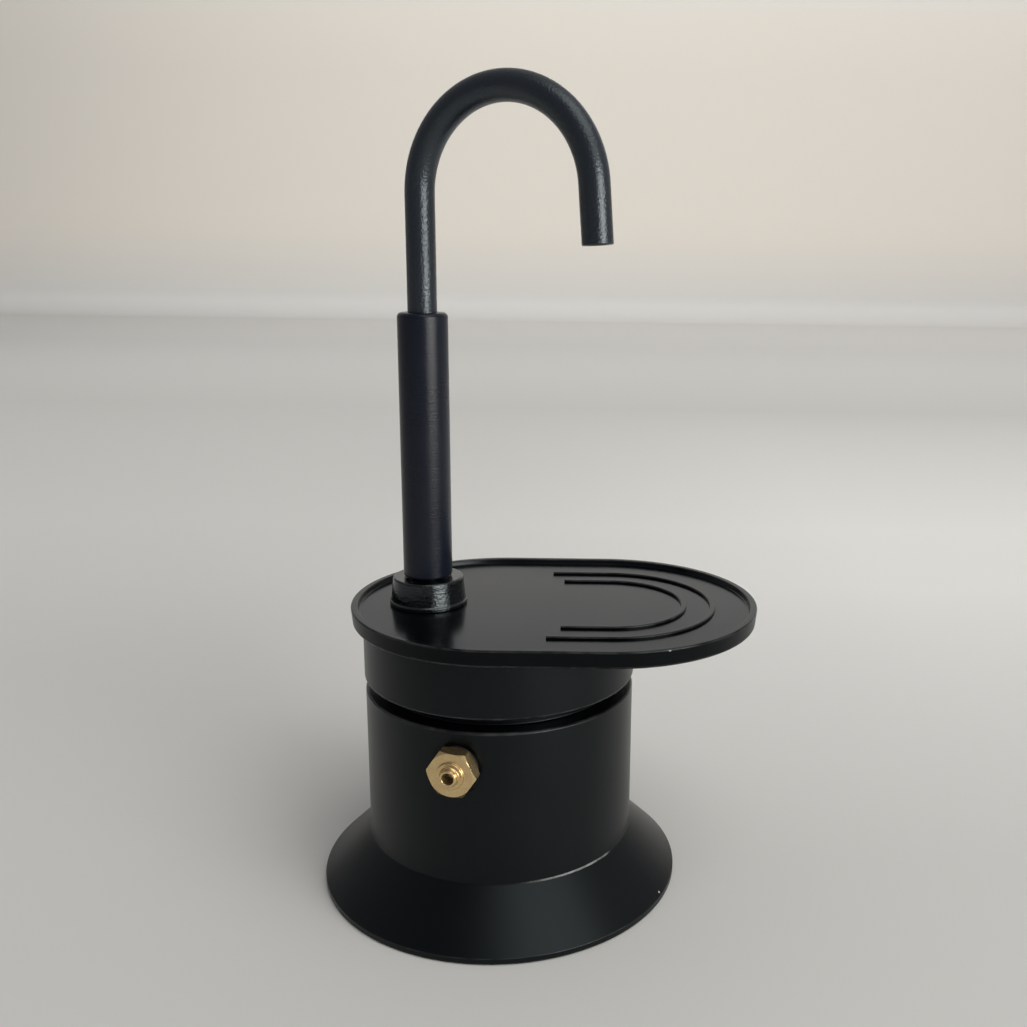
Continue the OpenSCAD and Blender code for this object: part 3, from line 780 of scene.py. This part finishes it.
def make_stage():
    """Pale floor that turns up into a pale wall far behind. Its tones carry painted light: a paler pool at
    the right near the object, and bands that make the floor darker further back and the wall lighter and
    darker up its height.
    """
    front_y = -3.0
    wide = 3.0
    high = 1.8
    turn_r = 0.05
    steps = 8
    floor_z = -0.0001
    profile = [(front_y, floor_z), (WALL_Y - turn_r, floor_z)]
    for k in range(1, steps + 1):
        a = math.pi / 2 * k / steps
        profile.append((WALL_Y - turn_r + turn_r * math.sin(a), floor_z + turn_r * (1 - math.cos(a))))
    profile.append((WALL_Y, high))
    points = [Vector((x, y, z)) for y, z in profile for x in (-wide, wide)]
    faces = [(2 * k, 2 * k + 1, 2 * k + 3, 2 * k + 2) for k in range(len(profile) - 1)]
    sweep = mesh_object("stage_sweep", points, faces, [0.0] * len(points))
    material, shader = new_material("stage_paper", {"Roughness": 0.9, "Specular IOR Level": 0.1})
    x, y, z = axes(material)
    near = (0.70, 0.695, 0.672, 1.0)
    painted_light_pool = (0.89, 0.885, 0.858, 1.0)
    middle = (0.555, 0.555, 0.538, 1.0)
    far = (0.50, 0.501, 0.49, 1.0)
    wall_foot = (0.575, 0.576, 0.564, 1.0)
    wall_low = (0.665, 0.667, 0.656, 1.0)
    wall_middle = (0.745, 0.712, 0.656, 1.0)
    wall_high = (0.685, 0.658, 0.608, 1.0)
    wall_top = (0.66, 0.68, 0.70, 1.0)
    # Painted light and shade: the floor is painted darker further back and paler again at the wall's foot.
    # The wall is painted lightest and warmest low down, and darker and cooler higher up.
    bands = (
        (y, 0.32, 0.75, middle), (y, 0.75, 1.3, far), (y, 1.4, 1.85, wall_foot), (z, 0.0, 0.03, wall_low),
        (z, 0.03, 0.16, wall_middle), (z, 0.2, 0.45, wall_high), (z, 0.55, 0.65, wall_top),
    )
    # Painted pool of light on the floor at the right, near the object
    right = remap(material, x, -0.1, 0.15, 0.2, 1.0)
    lit = math_node(material, "MULTIPLY", remap(material, y, 0.0, 0.22), right)
    tone = mix(material, lit, near, painted_light_pool)
    for axis, start, end, colour in bands:
        tone = mix(material, remap(material, axis, start, end), tone, colour)
    feed(material, shader, Base_Color=tone)
    sweep.data.materials.append(material)


def make_world():
    """Room light: pale behind the object, most of all at its right, less so at the upper right, else dim."""
    dim = (0.19, 0.195, 0.21, 1.0)
    ceiling = (0.34, 0.34, 0.325, 1.0)
    pale = (0.42, 0.415, 0.405, 1.0)
    world = bpy.data.worlds.new("room")
    bpy.context.scene.world = world
    world.use_nodes = True
    back = world.node_tree.nodes["Background"]
    x, y, z = axes(world, "Generated")
    above = math_node(world, "MULTIPLY", remap(world, x, -0.15, 0.1), remap(world, z, 0.2, 0.5))
    tone = mix(world, above, dim, ceiling)
    right = remap(world, x, -0.6, 0.1, 0.45, 1.0)
    lit = math_node(world, "MULTIPLY", remap(world, y, -0.5, 0.2), right)
    tone = mix(world, lit, tone, pale)
    world.node_tree.links.new(tone, back.inputs["Color"])


def area_light(name, place, aim, size, power, colour, spread=180.0):
    """One soft box, with a grid where its light spreads less than half way round."""
    light = bpy.data.lights.new(name, "AREA")
    light.shape = "RECTANGLE"
    light.size, light.size_y = size
    light.energy = power
    light.color = colour
    light.spread = math.radians(spread)
    lamp = bpy.data.objects.new(name, light)
    lamp.location = place
    lamp.rotation_euler = (Vector(aim) - Vector(place)).to_track_quat("-Z", "Y").to_euler()
    bpy.context.scene.collection.objects.link(lamp)


def make_lights():
    """A wide soft window at the right, a soft light high above it, and one that washes the wall."""
    area_light("window", place=(1.0, -0.9625, 0.27), aim=(0.0, 0.0, 0.12), size=(1.05, 0.6), power=3.7,
               colour=(1.0, 0.98, 0.94), spread=80.0)
    area_light("skylight", place=(0.55, -0.50, 1.35), aim=(0.0, 0.1, 0.0), size=(1.2, 1.2), power=8.0,
               colour=(1.0, 0.99, 0.97))
    area_light("wall_wash", place=(0.5, 0.95, 1.15), aim=(0.5, WALL_Y, 0.3), size=(3.0, 0.4), power=18.5,
               colour=(1.0, 0.96, 0.92))


def make_camera():
    """Camera at the photograph's viewing angle."""
    heading = math.radians(0.2736)
    pitch = math.radians(-13.604)
    roll = math.radians(0.788)
    place = Vector((0.01965, -0.23666, 0.14166))
    level = math.cos(pitch)
    forward = Vector((math.sin(heading) * level, math.cos(heading) * level, math.sin(pitch)))
    right = Vector((math.cos(heading), -math.sin(heading), 0.0))
    up = right.cross(forward)
    right, up = math.cos(roll) * right + math.sin(roll) * up, math.cos(roll) * up - math.sin(roll) * right
    data = bpy.data.cameras.new("camera")
    data.sensor_width = 36.0
    data.lens = 38.82
    data.shift_x = -0.0782
    data.shift_y = 0.0006
    camera = bpy.data.objects.new("camera", data)
    turn = Matrix((right, up, -forward)).transposed()
    camera.matrix_world = Matrix.Translation(place) @ turn.to_4x4()
    bpy.context.scene.collection.objects.link(camera)
    bpy.context.scene.camera = camera


def main():
    """Sets the stage, dresses the CAD nodes, and makes the pieces that stand for some of them."""
    make_camera()
    make_stage()
    make_world()
    make_lights()
    materials = make_materials()
    dress_nodes(materials)
    make_boiler(materials["black_aluminium"])
    make_collar(materials["black_aluminium"])
    make_tray(materials["tray_side"], materials["tray_top"])
    make_gland_nut(materials["nut_coat"])
    make_sleeve(materials["black_grip"])
    make_tube(materials["black_steel"])
    make_valve(materials["brass"])
    make_spring(materials["bare_steel"])
    bpy.context.scene.view_settings.view_transform = "Standard"


main()
